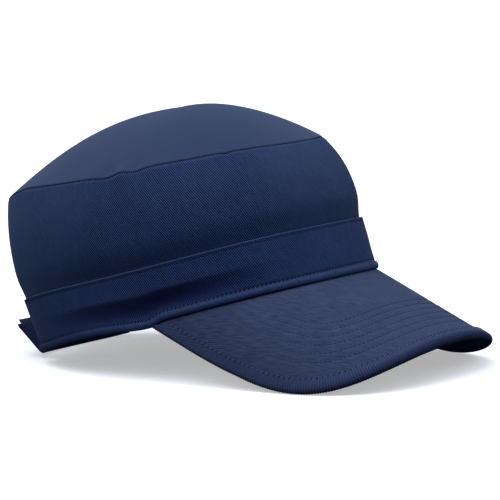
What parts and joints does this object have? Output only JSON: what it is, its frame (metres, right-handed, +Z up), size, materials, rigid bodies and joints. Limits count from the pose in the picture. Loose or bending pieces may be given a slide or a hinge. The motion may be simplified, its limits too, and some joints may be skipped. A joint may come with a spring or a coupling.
{
  "type": "military cap",
  "caption": "Navy cotton twill military cap with a domed flat-topped crown, a stitched band, a curved peak with a ribbed binding and a hook-and-loop back closure.",
  "frame": {"origin": "bottom centre of the box round the cap as it rests on a flat surface", "axes": "+Z up from the surface, -Y towards the front of the peak, +X towards the right side of someone facing the cap's front"},
  "size_m": [0.1622, 0.2812, 0.1403],
  "materials": {
    "wall_twill": "navy cotton twill",
    "top_twill": "navy cotton twill, catching the light",
    "band_twill": "navy cotton twill",
    "peak_twill": "navy cotton twill over a stiff insert",
    "binding_rib": "navy ribbed binding",
    "tab_twill": "navy cotton twill"
  },
  "bodies": {
    "root": {"crown_wall": "wall_twill", "crown_top": "top_twill", "band": "band_twill", "peak": "peak_twill", "peak_binding": "binding_rib", "tab_outer": "tab_twill", "tab_inner": "tab_twill"}
  },
  "joints": []
}
